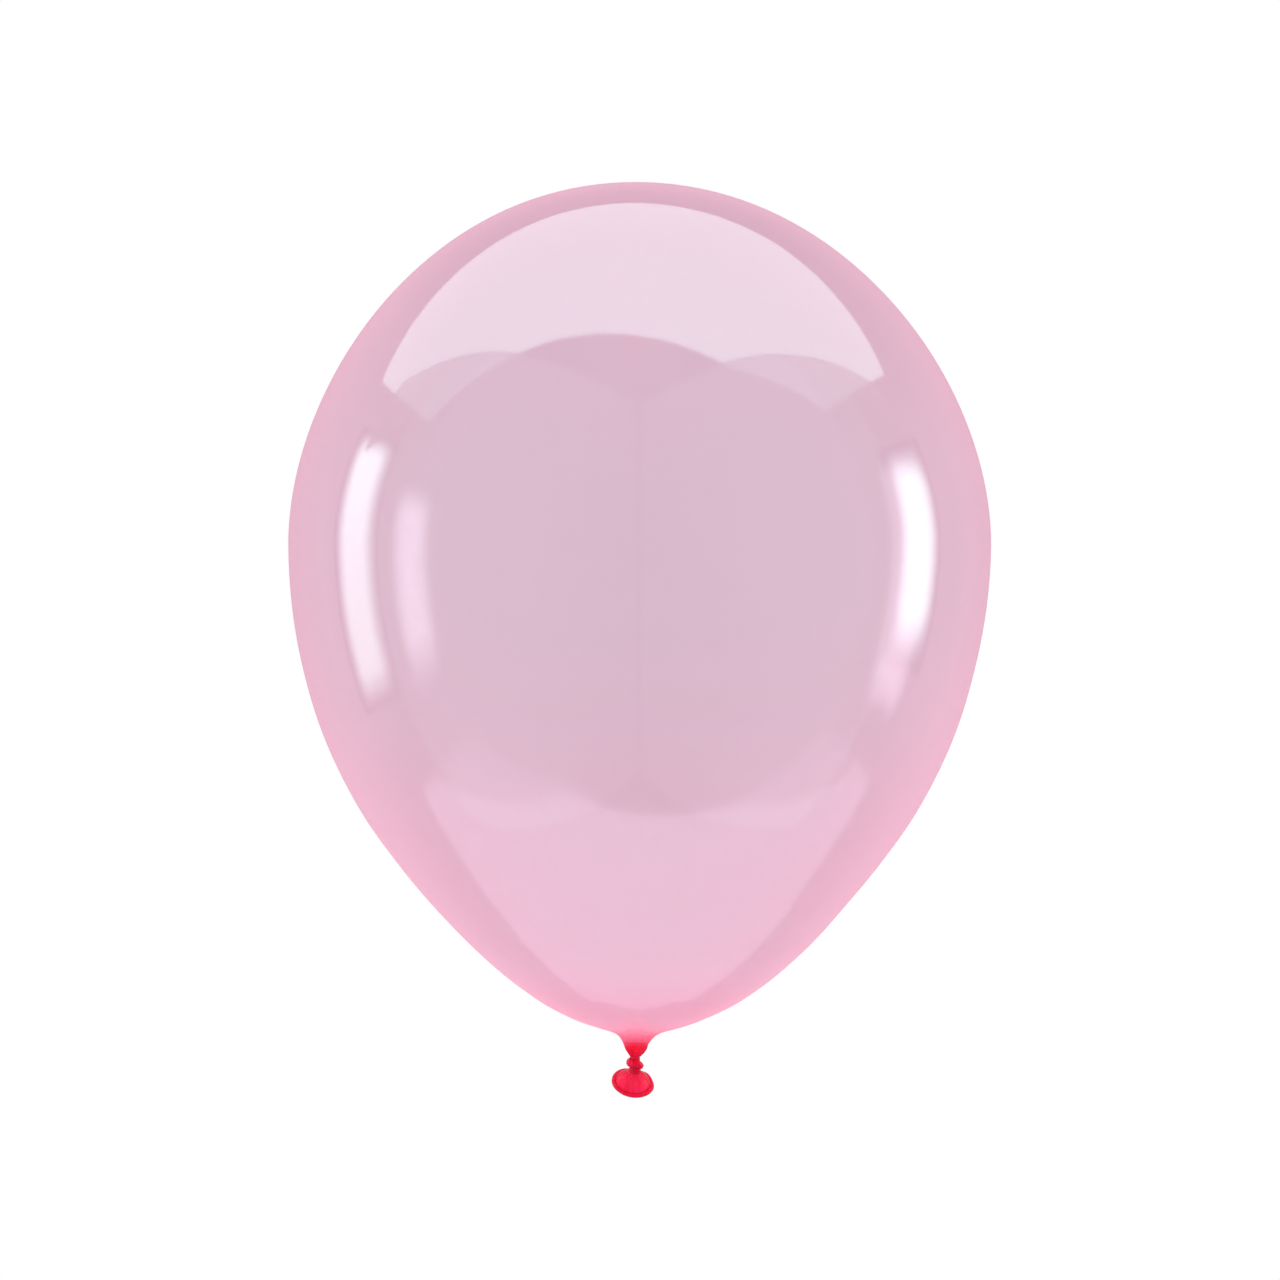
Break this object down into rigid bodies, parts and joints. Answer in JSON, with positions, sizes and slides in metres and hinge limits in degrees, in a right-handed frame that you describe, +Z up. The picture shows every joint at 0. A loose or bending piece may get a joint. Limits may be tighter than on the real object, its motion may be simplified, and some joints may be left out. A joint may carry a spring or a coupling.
{
  "type": "latex balloon",
  "caption": "Round inflated balloon of clear pink latex, with a gathered red neck, a tight knot and a flared tail that ends in a rolled lip.",
  "frame": {"origin": "on the balloon's axis at the upper pinch of its tied neck, where a ribbon is tied", "axes": "+Z up the balloon's axis to its crown, +X to its right, -Y to its front; the tail's open mouth points down and back, to +Y"},
  "size_m": [0.28, 0.28, 0.3639],
  "materials": {
    "clear_pink_film": "gloss",
    "gathered_red_latex": "satin",
    "twisted_red_latex": "satin",
    "knot_red_latex": "satin",
    "tail_red_latex": "satin",
    "lip_red_latex": "gloss"
  },
  "bodies": {
    "balloon": {"envelope": "clear_pink_film", "neck": "gathered_red_latex"},
    "neck_pinch": {"neck_strand": "twisted_red_latex"},
    "knot": {"knot_core": "knot_red_latex", "knot_loop": "knot_red_latex"},
    "tail_pinch": {"tail_strand": "twisted_red_latex"},
    "tail": {"tail_skirt": "tail_red_latex", "rolled_lip": "lip_red_latex"}
  },
  "joints": [
    {"name": "knot_sideways", "type": "hinge", "parent": "balloon", "child": "neck_pinch", "pos_m": [0, 0, 0], "axis": [0, 1, 0], "range_deg": [-25, 25], "stiffness_Nm_per_rad": 0.0015},
    {"name": "knot_fore_aft", "type": "hinge", "parent": "neck_pinch", "child": "knot", "pos_m": [0, 0, 0], "axis": [1, 0, 0], "range_deg": [-25, 25], "stiffness_Nm_per_rad": 0.0015},
    {"name": "tail_sideways", "type": "hinge", "parent": "knot", "child": "tail_pinch", "pos_m": [0, 0, -0.0049], "axis": [0, 1, 0], "range_deg": [-30, 30], "stiffness_Nm_per_rad": 0.001},
    {"name": "tail_fore_aft", "type": "hinge", "parent": "tail_pinch", "child": "tail", "pos_m": [0, 0, -0.0049], "axis": [1, 0, 0], "range_deg": [-75, 8], "stiffness_Nm_per_rad": 0.001}
  ]
}
